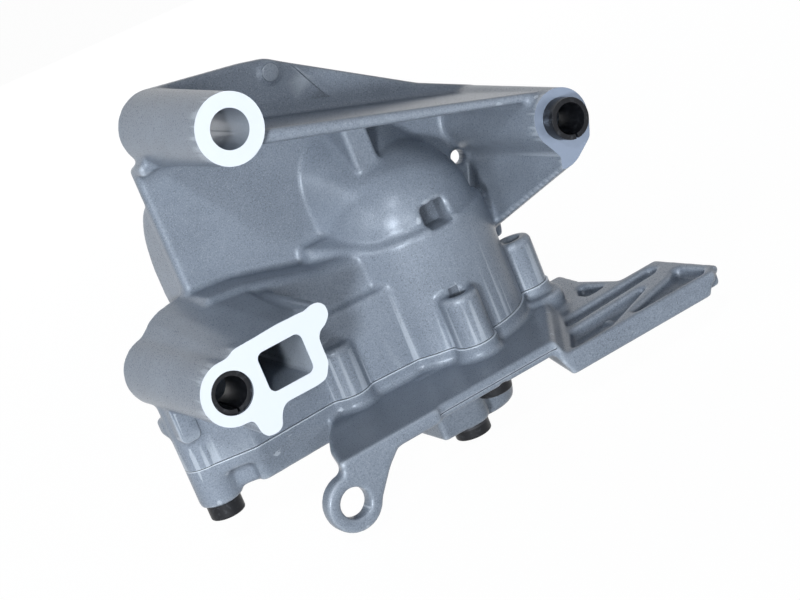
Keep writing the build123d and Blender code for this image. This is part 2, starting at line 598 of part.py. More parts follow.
def mount_sleeve(x, z, recess):
    """Hollow dowel sleeve in a mounting boss, with a chamfered mouth."""
    front = mount_y + recess
    sleeve = across_y(Circle(sleeve_r) - Circle(sleeve_bore_r), front, front + sleeve_length)
    sleeve = chamfer(sleeve.edges().group_by(Axis.Y)[0], sleeve_chamfer)
    return Pos(x, 0, z) * sleeve


def lobe_path(turn):
    """Centre of an outer lobe as the inner rotor sees it, on a trochoid round the shaft."""
    x = lobe_circle_r * math.cos(turn) + eccentricity * math.cos(outer_lobes * turn)
    y = -lobe_circle_r * math.sin(turn) - eccentricity * math.sin(outer_lobes * turn)
    return x, y


def inner_profile_point(turn):
    """Point of the inner rotor's flank: the lobe's centre moved in by the lobe's radius."""
    step = 1e-4
    x, y = lobe_path(turn)
    ahead, behind = lobe_path(turn + step), lobe_path(turn - step)
    run_x, run_y = ahead[0] - behind[0], ahead[1] - behind[1]
    length = math.hypot(run_x, run_y)
    inset = lobe_r + lobe_clearance
    return x + inset * run_y / length, y - inset * run_x / length


def inner_rotor():
    """Six-lobed inner rotor, keyed to the shaft."""
    count = 16 * inner_lobes
    points = [inner_profile_point(2 * math.pi * number / count) for number in range(count)]
    profile = make_face(Spline(*points, periodic=True))
    profile = Rot(0, 0, 90) * profile - Circle(shaft_r + shaft_fit)
    profile -= Pos(0, shaft_r) * Rectangle(key_width + 2 * key_fit, key_height + 2 * key_fit)
    return Pos(0, -eccentricity) * upright(profile, rotor_end_gap, rotor_height)


def outer_rotor():
    """Seven-lobed outer rotor that turns in the drum's pocket, meshed with the inner one."""
    root_r = lobe_circle_r - lobe_r + 2 * eccentricity + lobe_clearance + root_clearance
    profile = Circle(outer_rotor_r) - Circle(root_r)
    for number in range(outer_lobes):
        turn = math.radians(90.0 + 360.0 * number / outer_lobes)
        lobe = Pos(lobe_circle_r * math.cos(turn), lobe_circle_r * math.sin(turn)) * Circle(lobe_r)
        profile += lobe
    return upright(profile & Circle(outer_rotor_r), rotor_end_gap, rotor_height)


def drive_shaft():
    """Shaft from the hub to the dome, with a keyway and a hexagon socket at the drive end."""
    low = hub_nose_z + drive_bore_depth
    shaft = upright(Circle(shaft_r), low, shaft_top_z)
    shaft = chamfer(shaft.edges().group_by(Axis.Z)[-1], shaft_chamfer)
    shaft -= upright(hexagon(drive_hex_af), low - overlap, low + drive_hex_depth)
    slot = Pos(0, shaft_r) * Rectangle(key_width, key_height)
    middle = rotor_height / 2
    shaft -= upright(slot, middle - key_length / 2, middle + key_length / 2)
    for groove_low in clip_heights:
        shaft -= ring(shaft_r + overlap, clip_groove_r, groove_low, groove_low + clip_thickness)
    return Pos(0, -eccentricity) * shaft


def shaft_clip(low):
    """Retaining ring in the shaft's groove, open over a sixth of its turn."""
    clip = Circle(clip_r) - Circle(clip_groove_r) - Pos(clip_r, 0) * Rectangle(clip_r, clip_gap)
    return Pos(0, -eccentricity) * upright(clip, low, low + clip_thickness)


def rotor_key():
    """Key between shaft and inner rotor."""
    middle = rotor_height / 2
    key = upright(Pos(0, shaft_r) * Rectangle(key_width, key_height), middle - key_length / 2,
                  middle + key_length / 2)
    return Pos(0, -eccentricity) * key


def bush(low):
    return Pos(0, -eccentricity) * ring(shaft_r + bush_wall, shaft_r + shaft_fit, low, low + bush_length)


def relief_piston():
    """Hollow piston that the spring holds up against the valve's seat."""
    top = valve_bore_top_z - piston_gap
    piston = upright(Circle(valve_bore_r - piston_fit), top - piston_length, top)
    piston = chamfer(piston.edges().group_by(Axis.Z)[-1], piston_chamfer)
    piston -= upright(Circle(valve_bore_r - piston_wall), top - piston_length - overlap, top - piston_crown)
    return Pos(valve_x, valve_y) * piston


def plug_top_z():
    return valve_bottom_z + plug_thread_length


def relief_spring():
    """Closed coil spring between the piston's crown and the plug."""
    low = plug_top_z() + spring_wire_r
    high = valve_bore_top_z - piston_gap - piston_crown - spring_wire_r
    coil_r = valve_bore_r - piston_wall - spring_fit - spring_wire_r
    path = Helix((high - low) / spring_turns, high - low, coil_r)
    wire = Plane(path @ 0, z_dir=path % 0) * Circle(spring_wire_r)
    return Pos(valve_x, valve_y, low) * sweep(wire, path)


def relief_plug():
    """Threaded plug that closes the valve, with a socket in its round head."""
    head_low = valve_bottom_z - plug_washer_thickness - plug_head_height
    head = upright(Circle(plug_head_r), head_low, head_low + plug_head_height)
    head = fillet(head.edges().group_by(Axis.Z)[0], head_round)
    stem = upright(Circle(valve_bore_r), head_low + plug_head_height, plug_top_z())
    plug = head + stem - upright(hexagon(screw_hex_af), head_low - overlap, head_low + screw_hex_depth)
    return Pos(valve_x, valve_y) * plug


def plug_washer():
    washer = ring(plug_head_r, valve_bore_r, valve_bottom_z - plug_washer_thickness, valve_bottom_z)
    return Pos(valve_x, valve_y) * washer


def gallery_plug():
    """Socket plug that closes the end of the drilled outlet gallery."""
    plug = across_y(Circle(gallery_plug_r), arm_back - gallery_plug_length, arm_back)
    plug -= across_y(hexagon(screw_hex_af), arm_back - screw_hex_depth, arm_back + overlap)
    return Pos(port_x, 0, port_z) * plug


def suction_seal():
    """Ring seal in the suction flange's groove, standing a little proud of the face."""
    centre_y = suction_face_y + seal_stand - seal_section_r
    return Pos(suction_x, centre_y, suction_z) * Rot(90, 0, 0) * Torus(seal_r, seal_section_r)


save("housing", housing())
save("cover", cover())
save("cover_screws", cover_screws())
save("front_dowel", joint_dowel(front_dowel_place))
save("rear_dowel", joint_dowel(rear_dowel_place))
save("left_sleeve", mount_sleeve(left_boss_x, left_boss_z, left_sleeve_recess))
save("right_sleeve", mount_sleeve(right_boss_x, right_boss_z, -right_sleeve_stand))
save("inner_rotor", inner_rotor())
save("outer_rotor", outer_rotor())
save("drive_shaft", drive_shaft())
save("rotor_key", rotor_key())
save("upper_bush", bush(shaft_top_z - bush_length - bush_setback))
save("lower_bush", bush(hub_nose_z + drive_bore_depth + bush_setback))
save("relief_piston", relief_piston())
save("relief_spring", relief_spring())
save("relief_plug", relief_plug())
save("plug_washer", plug_washer())
save("upper_clip", shaft_clip(clip_heights[0]))
save("lower_clip", shaft_clip(clip_heights[1]))
save("gallery_plug", gallery_plug())
save("suction_seal", suction_seal())
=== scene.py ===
import math

import bpy
from mathutils import Matrix, Vector


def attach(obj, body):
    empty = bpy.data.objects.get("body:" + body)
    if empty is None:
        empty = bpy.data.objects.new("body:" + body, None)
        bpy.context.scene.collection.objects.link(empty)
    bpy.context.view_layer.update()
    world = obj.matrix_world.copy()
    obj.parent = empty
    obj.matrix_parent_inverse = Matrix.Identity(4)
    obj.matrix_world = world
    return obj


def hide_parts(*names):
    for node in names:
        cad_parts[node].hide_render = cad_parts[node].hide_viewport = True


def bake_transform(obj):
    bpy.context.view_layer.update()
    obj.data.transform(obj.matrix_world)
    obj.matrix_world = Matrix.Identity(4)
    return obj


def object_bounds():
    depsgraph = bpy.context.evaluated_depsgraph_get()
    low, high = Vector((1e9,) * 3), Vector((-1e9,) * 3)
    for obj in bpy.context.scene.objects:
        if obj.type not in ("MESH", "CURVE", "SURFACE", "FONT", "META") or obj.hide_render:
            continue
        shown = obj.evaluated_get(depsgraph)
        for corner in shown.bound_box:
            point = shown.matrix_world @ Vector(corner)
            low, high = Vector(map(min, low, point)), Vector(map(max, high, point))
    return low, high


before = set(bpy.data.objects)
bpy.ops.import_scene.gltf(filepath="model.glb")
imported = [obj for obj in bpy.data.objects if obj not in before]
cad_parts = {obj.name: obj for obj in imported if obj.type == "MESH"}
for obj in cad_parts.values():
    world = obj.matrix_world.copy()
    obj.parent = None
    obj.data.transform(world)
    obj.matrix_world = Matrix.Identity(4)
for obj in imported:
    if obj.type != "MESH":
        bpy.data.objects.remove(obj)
cad_low, cad_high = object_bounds()

# Housing: one aluminium die casting with the rotor drum, the dome over the shaft, the outlet block
# and three long bosses. Its skin is grainy and soft-edged as it left the die; then the mounting
# plane, the joint, the suction flange and all bores were machined, which left those edges sharp.
mount_plane, joint_plane, suction_plane = -0.0481, 0.028, 0.0329
flange_low, flange_high = (-0.0700, 0.0600), (-0.0060, 0.1020)
machining_stock, cutter_travel, beyond = 0.002, 0.05, 0.3
skin_size = 0.00045
casting_triangles = 190000
housing_fillet, housing_edge_round, skin_passes, skin_ease = 0.0008, 0.0009, 4, 0.5
merge_within, on_plane, facing_front = 1e-6, 1e-5, -0.9
smooth_up_to = math.radians(40)
cutter_clearance, run_in, overlap, round_sides, corner_steps = 0.00006, 0.001, 0.002, 96, 6
upper_boss, bolt_bore_r, bolt_bore_depth = (-0.0569, 0.1195), 0.0055, 0.0590
left_boss, left_seat_end = (-0.0851, 0.0559), -0.0316
right_boss, right_seat_end = (0.0357, 0.0808), -0.0391
sleeve_seat_r, sleeve_bore_r = 0.006, 0.0045
drain, drain_r, drain_from, drain_to = (0.0270, 0.0717), 0.0022, 0.0, 0.013
screw_places = ((-0.0864, -0.0015), (-0.0402, -0.0098), (-0.0039, -0.0244), (0.0289, -0.0026),
                (0.0060, 0.0304), (-0.0360, 0.0269), (-0.0710, 0.0219))
screw_r, screw_top, boss_hole_r, boss_hole_end = 0.003, 0.041, 0.0022, 0.0450
open_bosses = screw_places[1:5]
port, port_size, port_round, port_end = (-0.0682, 0.0563), (0.0138, 0.0116), 0.002, 0.0039
core, core_size, core_round = (0.0012, 0.0661), (0.0080, 0.0072), 0.0007
core_mouth, core_floor = -0.030, -0.0125
drum_axis_y, rotor_pocket_r, rotor_pocket_top = 0.0019, 0.02148, 0.04605
bush_seat_r, bush_seat_top = 0.008, 0.0695
dowel_places, dowel_r, dowel_half = ((-0.0600, -0.0051), (-0.0200, 0.0244)), 0.00342, 0.0045
suction, suction_r, suction_floor = (-0.0380, 0.0810), 0.0095, 0.0140
suction_tap_shift, suction_tap_r, suction_tap_depth = 0.018, 0.0025, 0.012
seal_r, seal_groove_r, seal_sink, seal_sides = 0.012, 0.0012, 0.0008, (128, 24)
wall_front, wall_pad, wall_pad_size, wall_pad_r = 0.0059, (-0.0195, 0.1200), (0.0052, 0.0052), 0.002548
wall_pad_stand, flat_pad_front, flat_pad_depth, pad_root = 0.0010, -0.0090, 0.004, 0.001
flat_pad, flat_pad_size, flat_pad_r, pad_edge = (-0.0893, 0.0437), (0.0062, 0.0127), 0.002, 0.0003
crease_from, crease_to = (-0.0123, 0.1194), (-0.0060, 0.1068)
crease_width, crease_depth = 0.0004, 0.0003


def only(piece):
    """Make one piece the whole selection."""
    bpy.ops.object.select_all(action="DESELECT")
    piece.select_set(True)
    bpy.context.view_layer.objects.active = piece


def apply(piece, kind, **settings):
    """Put a modifier on a piece and apply it."""
    only(piece)
    modifier = piece.modifiers.new(kind.lower(), kind)
    for name, value in settings.items():
        setattr(modifier, name, value)
    bpy.ops.object.modifier_apply(modifier=modifier.name)


def pick(piece, kind, wanted):
    """Go into edit mode with just the vertices, edges or faces that a test picks out."""
    only(piece)
    bpy.ops.object.mode_set(mode="EDIT")
    bpy.ops.mesh.select_mode(type=kind)
    bpy.ops.mesh.select_all(action="DESELECT")
    bpy.ops.object.mode_set(mode="OBJECT")
    mesh = piece.data
    for part in {"VERT": mesh.vertices, "EDGE": mesh.edges, "FACE": mesh.polygons}[kind]:
        part.select = wanted(part)
    bpy.ops.object.mode_set(mode="EDIT")


def merged_copy(name, node, machined_planes=()):
    """A solid as a closed mesh of its own, with stock left on the planes that get machined."""
    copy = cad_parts[node].copy()
    copy.data = copy.data.copy()
    copy.name = copy.data.name = name
    copy.parent = None
    bpy.context.collection.objects.link(copy)
    pick(copy, "VERT", lambda vertex: True)
    bpy.ops.mesh.remove_doubles(threshold=merge_within)
    bpy.ops.object.mode_set(mode="OBJECT")
    for axis, plane, outwards in machined_planes:
        pick(copy, "VERT", lambda vertex: abs(vertex.co[axis] - plane) < on_plane)
        stock = Vector((0, 0, 0))
        stock[axis] = outwards * machining_stock
        bpy.ops.transform.translate(value=stock)
        bpy.ops.object.mode_set(mode="OBJECT")
    return copy


def die_cast(casting, fillet, rounding):
    """Fill inner corners to the die's radius, round outer ones, and thin the mesh where it is flat."""
    for step in (fillet, -fillet - rounding, rounding, 0.0):
        apply(casting, "REMESH", mode="VOXEL", voxel_size=skin_size)
        apply(casting, "SMOOTH", factor=skin_ease, iterations=skin_passes)
        if step:
            apply(casting, "DISPLACE", strength=step, mid_level=0.0)
    triangles = sum(len(face.vertices) - 2 for face in casting.data.polygons)
    apply(casting, "DECIMATE", ratio=min(1.0, casting_triangles / triangles))


def settle():
    """Put the place, turn and size of what was just added into its mesh."""
    bpy.ops.object.transform_apply(location=True, rotation=True, scale=True)
    return bpy.context.object


def milling(low, high):
    """A square cut between two corners."""
    middle = [(a + b) / 2 for a, b in zip(low, high)]
    bpy.ops.mesh.primitive_cube_add(size=1, location=middle)
    bpy.context.object.scale = [b - a for a, b in zip(low, high)]
    return settle()


def broaching(centre, size, corner_round, start, end):
    """A square cut across Y with rounded corners."""
    (x, z), (width, height) = centre, size
    cutter = milling((x - width / 2, start, z - height / 2), (x + width / 2, end, z + height / 2))

    def runs_deep(edge):
        first, last = (cutter.data.vertices[number].co for number in edge.vertices)
        return abs(first.y - last.y) > abs(end - start) / 2

    pick(cutter, "EDGE", runs_deep)
    bpy.ops.mesh.bevel(offset=corner_round, segments=corner_steps, affect="EDGES")
    bpy.ops.object.mode_set(mode="OBJECT")
    return cutter


def raised_pad(centre, size, corner_round, start, end):
    """A pad that stands proud towards the front, with rounded corners and a broken front edge."""
    pad = broaching(centre, size, corner_round, start, end)
    pick(pad, "FACE", lambda face: face.normal.y < facing_front)
    bpy.ops.mesh.bevel(offset=pad_edge, segments=3, affect="EDGES")
    bpy.ops.object.mode_set(mode="OBJECT")
    return pad


def scribed(start, end, width, near, far):
    """A narrow straight cut between two points of a wall across Y."""
    run = Vector((end[0] - start[0], 0, end[1] - start[1]))
    cutter = milling((-width / 2, near, -run.length / 2), (width / 2, far, run.length / 2))
    cutter.rotation_euler = (0, math.atan2(run.x, run.z), 0)
    cutter.location = Vector((start[0], 0, start[1])) + run / 2
    return settle()


def drilling(radius, start, end, centre, across=True):
    """A round cut from one depth to another, across Y or up Z."""
    first, last = (Vector((centre[0], depth, centre[1]) if across else (*centre, depth))
                   for depth in (start, end))
    turn = (math.pi / 2, 0, 0) if across else (0, 0, 0)
    bpy.ops.mesh.primitive_cylinder_add(vertices=round_sides, radius=radius + cutter_clearance,
                                        depth=abs(end - start), location=first + (last - first) / 2,
                                        rotation=turn)
    return settle()


def cut(piece, cutters, operation="DIFFERENCE"):
    """Take cutters that don't meet each other out of a piece in one go, or weld them on."""
    bpy.ops.object.select_all(action="DESELECT")
    for cutter in cutters:
        cutter.select_set(True)
    bpy.context.view_layer.objects.active = cutters[0]
    if len(cutters) > 1:
        bpy.ops.object.join()
    apply(piece, "BOOLEAN", operation=operation, object=cutters[0], solver="MANIFOLD")
    bpy.data.objects.remove(cutters[0])


housing = merged_copy("housing_casting", "housing",
                      ((1, mount_plane, -1), (2, joint_plane, -1), (1, suction_plane, 1)))
die_cast(housing, housing_fillet, housing_edge_round)
cut(housing, [milling((-beyond, mount_plane - cutter_travel, -beyond), (beyond, mount_plane, beyond))])
cut(housing, [milling((-beyond, -beyond, joint_plane - cutter_travel), (beyond, beyond, joint_plane))])
cut(housing, [milling((flange_low[0], suction_plane, flange_low[1]),
                      (flange_high[0], suction_plane + cutter_travel, flange_high[1]))])
cut(housing, [raised_pad(wall_pad, wall_pad_size, wall_pad_r, wall_front - wall_pad_stand,
                         wall_front + pad_root),
              raised_pad(flat_pad, flat_pad_size, flat_pad_r, flat_pad_front,
                         flat_pad_front + flat_pad_depth)], "UNION")
cut(housing, [scribed(crease_from, crease_to, crease_width, wall_front - run_in,
                      wall_front + crease_depth)])

front, below, behind = mount_plane - run_in, joint_plane - run_in, suction_plane + run_in
suction_taps = [(suction[0] + side * suction_tap_shift, suction[1]) for side in (-1, 1)]
first_cuts = [drilling(bolt_bore_r, front, front + bolt_bore_depth, upper_boss),
              drilling(sleeve_seat_r, front, left_seat_end, left_boss),
              drilling(sleeve_seat_r, front, right_seat_end, right_boss),
              drilling(drain_r, drain_from, drain_to, drain),
              drilling(suction_r, suction_floor, behind, suction)]
first_cuts += [drilling(suction_tap_r, suction_plane - suction_tap_depth, behind, place)
               for place in suction_taps]
first_cuts += [drilling(dowel_r, below, joint_plane + dowel_half, place, across=False)
               for place in dowel_places]
first_cuts += [drilling(screw_r, below, screw_top, place, across=False) for place in screw_places]
first_cuts.append(broaching(port, port_size, port_round, front, port_end))
first_cuts.append(broaching(core, core_size, core_round, core_mouth, core_floor))
first_cuts.append(drilling(rotor_pocket_r, below, rotor_pocket_top, (0, drum_axis_y), across=False))
cut(housing, first_cuts)

inside = joint_plane + overlap
second_cuts = [drilling(boss_hole_r, inside, boss_hole_end, place, across=False)
               for place in open_bosses]
second_cuts += [drilling(sleeve_bore_r, front, front + bolt_bore_depth, place)
                for place in (left_boss, right_boss)]
second_cuts.append(drilling(bush_seat_r, inside, bush_seat_top, (0, 0), across=False))
bpy.ops.mesh.primitive_torus_add(major_segments=seal_sides[0], minor_segments=seal_sides[1],
                                 major_radius=seal_r, minor_radius=seal_groove_r,
                                 rotation=(math.pi / 2, 0, 0),
                                 location=(suction[0], suction_plane - seal_sink, suction[1]))
second_cuts.append(settle())
cut(housing, second_cuts)

cast_dark, cast_light = (0.15, 0.178, 0.22, 1), (0.275, 0.318, 0.385, 1)
# The bright tone below lightens edges, specks, scratches and the cover's joint band, as wear and as
# painted highlight; the dark one is painted shade in hollows.
wear_and_highlight, painted_crevice_shade = (0.62, 0.68, 0.76, 1), (0.09, 0.105, 0.13, 1)
# Milled faces: a bright tone that is the metal's own brightness and a painted reflection of the lamps,
# and a darker copy for those past a set x as painted shade.
milled_and_reflection, painted_shade_milled, painted_shade_past_x = (0.80, 0.86, 0.93, 1), (0.30, 0.36, 0.47, 1), 0.02
seam_dark, seam_half, seam_inset = (0.05, 0.06, 0.07, 1), 0.00022, 0.0002
grain_cells, fine_cells, flow_cells, cloud_cells = 2400.0, 5000.0, 300.0, 60.0
scratch_cells, patch_cells, cutter_mark_cells = 260.0, 35.0, 700.0
skin_roughness, grain_roughness, machined_gloss = 0.31, 0.3, 0.05
skin_metallic, machined_metallic, skin_specular = 0.08, 0.3, 0.2
skin_depth, cutter_mark_share = 0.00004, 0.02
plane_play, bore_play = 0.00005, 0.0002
housing_milled_from, never_milled = 0.035, 1.0


class Value:
    """A number that varies over a surface. Arithmetic on it adds Math nodes."""

    def __init__(self, nodes, socket):
        self.nodes, self.socket = nodes, socket

    def math(self, operation, *numbers):
        return self.nodes.node("ShaderNodeMath", {"operation": operation}, dict(enumerate(numbers)))

    def __add__(self, other):
        return self.math("ADD", self, other)

    def __radd__(self, other):
        return self.math("ADD", other, self)

    def __sub__(self, other):
        return self.math("SUBTRACT", self, other)

    def __rsub__(self, other):
        return self.math("SUBTRACT", other, self)

    def __mul__(self, other):
        return self.math("MULTIPLY", self, other)

    def __rmul__(self, other):
        return self.math("MULTIPLY", other, self)

    def __abs__(self):
        return self.math("ABSOLUTE", self)

    def __lt__(self, other):
        return self.math("LESS_THAN", self, other)

    def __gt__(self, other):
        return self.math("GREATER_THAN", self, other)

    def __or__(self, other):
        return self.math("MAXIMUM", self, other)


class Nodes:
    """The nodes of a finish or of the studio's sky, and the place that they read."""

    def __init__(self, tree, coordinates):
        self.tree = tree
        self.place = self.node("ShaderNodeTexCoord", output=coordinates)

    def feed(self, node, sockets):
        for name, value in sockets.items():
            if isinstance(value, Value):
                self.tree.links.new(value.socket, node.inputs[name])
            else:
                node.inputs[name].default_value = value

    def node(self, kind, settings=None, sockets=None, output=0):
        """Add a node, set it up, then fill its sockets."""
        made = self.tree.nodes.new(kind)
        for name, value in (settings or {}).items():
            setattr(made, name, value)
        self.feed(made, sockets or {})
        return Value(self, made.outputs[output])

    def axis(self, name):
        return self.node("ShaderNodeSeparateXYZ", sockets={0: self.place}, output=name)

    def noise(self, cells, detail=2.0, stretch=None):
        """Noise from 0 to 1 with so many cells a metre, drawn out along an axis where asked."""
        place = self.place
        if stretch:
            place = self.node("ShaderNodeMapping", sockets={"Vector": place, "Scale": stretch})
        return self.node("ShaderNodeTexNoise", sockets={"Vector": place, "Scale": cells,
                                                        "Detail": detail})

    def rise(self, value, low, high):
        """0 below one limit, 1 above the other, and smooth between."""
        return self.node("ShaderNodeMapRange", {"interpolation_type": "SMOOTHSTEP"},
                         {"Value": value, "From Min": low, "From Max": high})

    def mix(self, amount, first, second):
        """A colour between two others."""
        return self.node("ShaderNodeMix", {"data_type": "RGBA"}, {0: amount, 6: first, 7: second},
                         output=2)


class Finish(Nodes):
    """A material that is put together node by node round its Principled shader."""

    def __init__(self, name, metallic, roughness, specular):
        self.material = bpy.data.materials.new(name)
        self.material.use_nodes = True
        super().__init__(self.material.node_tree, "Object")
        self.shader = self.tree.nodes["Principled BSDF"]
        self.feed(self.shader, {"Metallic": metallic, "Roughness": roughness,
                                "Specular IOR Level": specular})

    def within(self, centre, radius):
        """1 inside a round bore across Y, 0 outside it."""
        run = self.axis("X") - centre[0]
        rise = self.axis("Z") - centre[1]
        return run * run + rise * rise < (radius + bore_play) ** 2

    def colour(self, value):
        self.feed(self.shader, {"Base Color": value})

    def bump(self, height, depth):
        """Raise the surface by a height of 0 to 1 times a depth in metres."""
        self.feed(self.shader, {"Normal": self.node("ShaderNodeBump", sockets={
            "Strength": 1.0, "Distance": depth, "Height": height})})


def cast_finish(name, milled_from, seam_line_and_highlight):
    """Die-cast aluminium, with machined front faces above a height and a seam line at the joint. Edges
    and specks carry painted highlights, hollows painted shade, and the machined faces a painted
    reflection, darker past a set x as painted shade.
    """
    finish = Finish(name, skin_metallic, skin_roughness, skin_specular)
    grain, fine = finish.noise(grain_cells, 3.0), finish.noise(fine_cells, 1.0)
    cloud, flow = finish.noise(cloud_cells, 3.0), finish.noise(flow_cells, 3.0)
    tone = 0.5 + (cloud - 0.5) * 0.4 + (flow - 0.5) * 0.15 + (grain - 0.5) * 0.9
    surface = finish.mix(finish.rise(tone, 0.1, 0.9), cast_dark, cast_light)

    # Wear and painted light: edges brightened, part rubbed wear and part painted highlight, painted
    # shade in the corners, bright specks painted as glints, and a few long scratches.
    edge = finish.node("ShaderNodeNewGeometry", output="Pointiness")
    surface = finish.mix(finish.rise(edge, 0.506, 0.55) * 0.45, surface, wear_and_highlight)
    # Painted shade: concave places are darkened where shade would fall.
    surface = finish.mix(finish.rise(0.5 - edge, 0.006, 0.04) * 0.5, surface, painted_crevice_shade)
    # Painted glints: bright specks scattered over the grain.
    surface = finish.mix(finish.rise(fine, 0.62, 0.72) * 0.35, surface, wear_and_highlight)
    scratch = finish.noise(scratch_cells, 2.0, stretch=(1.0, 7.0, 2.0))
    patch = finish.rise(finish.noise(patch_cells, 1.0), 0.55, 0.7)
    surface = finish.mix(finish.rise(scratch, 0.72, 0.78) * patch * 0.8, surface, wear_and_highlight)

    x, y, z = finish.axis("X"), finish.axis("Y"), finish.axis("Z")
    # A band along the joint: a dark line on the housing, a painted highlight on the cover.
    seam = (abs(z - joint_plane) < seam_half) * (y > mount_plane + seam_inset)
    surface = finish.mix(seam, surface, seam_line_and_highlight)
    face = ((y < mount_plane + plane_play) * (z > milled_from)
            | (y > suction_plane - plane_play) * (z > flange_low[1]))
    machined = (face | finish.within(upper_boss, bolt_bore_r)
                | finish.within(left_boss, sleeve_seat_r)
                | finish.within(right_boss, sleeve_seat_r))
    # Milled faces painted bright as a reflection, and darker past a set x as painted shade.
    finish.colour(finish.mix(face, surface, finish.mix(x > painted_shade_past_x, milled_and_reflection, painted_shade_milled)))
    as_cast = 1 - machined
    finish.feed(finish.shader, {
        "Roughness": skin_roughness + (grain - 0.5) * grain_roughness * as_cast
        - machined * machined_gloss,
        "Metallic": skin_metallic + machined * machined_metallic})
    cutter_marks = finish.noise(cutter_mark_cells, 2.0, stretch=(0.15, 1.0, 2.0))
    cast_height = grain * 0.7 + fine * 0.3 + flow * 0.5
    finish.bump(cast_height * as_cast + cutter_marks * machined * cutter_mark_share, skin_depth)
    return finish.material


def coat(piece, material):
    """Smooth a piece's round faces, keep its sharp edges, and give it its finish."""
    only(piece)
    bpy.ops.object.shade_smooth_by_angle(angle=smooth_up_to)
    piece.data.materials.clear()
    piece.data.materials.append(material)


coat(housing, cast_finish("cast_housing_finish", housing_milled_from, seam_dark))
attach(housing, "pump")
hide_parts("housing")

# Cover: the second aluminium die casting, bolted under the drum. Its tray, lower plate and hanging
# lug are cast with it. The front lip is set back behind the mounting plane with a parting line
# along it; the joint face, the hub's bore, the valve's bore and the screw seats are machined.
cover_fillet, cover_edge_round = 0.0006, 0.0006
lip_left, lip_right, lip_low, lip_high, lip_setback = -0.0325, 0.0085, 0.0150, 0.0260, 0.0012
lip_line, lip_line_width, lip_line_depth = 0.0214, 0.0003, 0.0004
cover_screw_r, screw_head_pocket_r, screw_seat = 0.00305, 0.0058, 0.0156
drive_bore_r, drive_bore_top = 0.007, 0.004
valve, valve_bore_r, valve_low, valve_high = (-0.0104, -0.0127), 0.004, 0.0024, 0.0215
valve_head_pocket_r = 0.0061
lug_eye, lug_eye_r, lug_eye_depth = (-0.0654, 0.0114), 0.0044, 0.008
clear_below = 0.005

cover = merged_copy("cover_casting", "cover", ((2, joint_plane, 1),))
cut(cover, [milling((lip_left, mount_plane - run_in, lip_low),
                    (lip_right, mount_plane + lip_setback, lip_high))])
die_cast(cover, cover_fillet, cover_edge_round)
cut(cover, [milling((-beyond, -beyond, joint_plane), (beyond, beyond, joint_plane + cutter_travel))])
cut(cover, [scribed((lip_left, lip_line), (lip_right, lip_line), lip_line_width, mount_plane,
                    mount_plane + lip_setback + lip_line_depth)])
above = joint_plane + run_in
under = cad_low.z - clear_below
cover_cuts = [drilling(cover_screw_r, screw_seat - run_in, above, place, across=False)
              for place in screw_places]
cover_cuts += [drilling(dowel_r, joint_plane - dowel_half, above, place, across=False)
               for place in dowel_places]
cover_cuts.append(drilling(lug_eye_r, front, front + lug_eye_depth, lug_eye))
cover_cuts.append(drilling(valve_bore_r, valve_low - run_in, valve_high, valve, across=False))
cover_cuts.append(drilling(bush_seat_r, drive_bore_top, above, (0, 0), across=False))
cut(cover, cover_cuts)
seat_cuts = [drilling(screw_head_pocket_r, under, screw_seat, place, across=False)
             for place in screw_places]
seat_cuts.append(drilling(valve_head_pocket_r, under, valve_low, valve, across=False))
seat_cuts.append(drilling(drive_bore_r, under, drive_bore_top + run_in, (0, 0), across=False))
cut(cover, seat_cuts)
# The cover's band along the joint gets the bright tone as a painted highlight.
coat(cover, cast_finish("cast_cover_finish", never_milled, wear_and_highlight))
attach(cover, "pump")
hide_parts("cover")

# Sleeves: two tubes rolled from steel strip, blackened with oil after hardening and pressed into
# the lower left and right bosses, where they set the pump to the engine block.
oxide, oxide_worn = (0.010, 0.011, 0.014, 1), (0.06, 0.065, 0.075, 1)
oxide_cells, oxide_grain_cells, oxide_depth = 900.0, 4000.0, 0.00001
oxide_metallic, oxide_specular, sleeve_roughness = 0.3, 0.35, 0.3
sleeve_r, sleeve_wall_r, slit_width, sleeve_break = 0.006, 0.0045, 0.0007, 0.0004
left_sleeve_front, right_sleeve_front = mount_plane + 0.0008, mount_plane - 0.005


def black_oxide(name, roughness):
    """Oiled black oxide on steel, rubbed thin here and there."""
    finish = Finish(name, oxide_metallic, roughness, oxide_specular)
    worn = finish.rise(finish.noise(oxide_cells, 3.0), 0.52, 0.75)
    finish.colour(finish.mix(worn * 0.5, oxide, oxide_worn))
    finish.feed(finish.shader, {"Roughness": roughness + worn * 0.2})
    finish.bump(finish.noise(oxide_grain_cells, 2.0), oxide_depth)
    return finish.material


def rolled_sleeve(node, centre, near, far):
    """A tube rolled from strip: hollow, slit along its lower side, with broken edges."""
    x, z = centre
    sleeve = drilling(sleeve_r - cutter_clearance, near, far, centre)
    sleeve.name = sleeve.data.name = node + "_rolled"
    cut(sleeve, [drilling(sleeve_wall_r, near - run_in, far + run_in, centre)])
    cut(sleeve, [milling((x - slit_width / 2, near - run_in, z - sleeve_r - run_in),
                         (x + slit_width / 2, far + run_in, z - sleeve_wall_r / 2))])
    apply(sleeve, "BEVEL", width=sleeve_break, segments=3, limit_method="ANGLE",
          angle_limit=smooth_up_to)
    coat(sleeve, sleeve_finish)
    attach(sleeve, "pump")
    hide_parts(node)


sleeve_finish = black_oxide("sleeve_finish", sleeve_roughness)
rolled_sleeve("left_sleeve", left_boss, left_sleeve_front, left_seat_end)
rolled_sleeve("right_sleeve", right_boss, right_sleeve_front, right_seat_end)

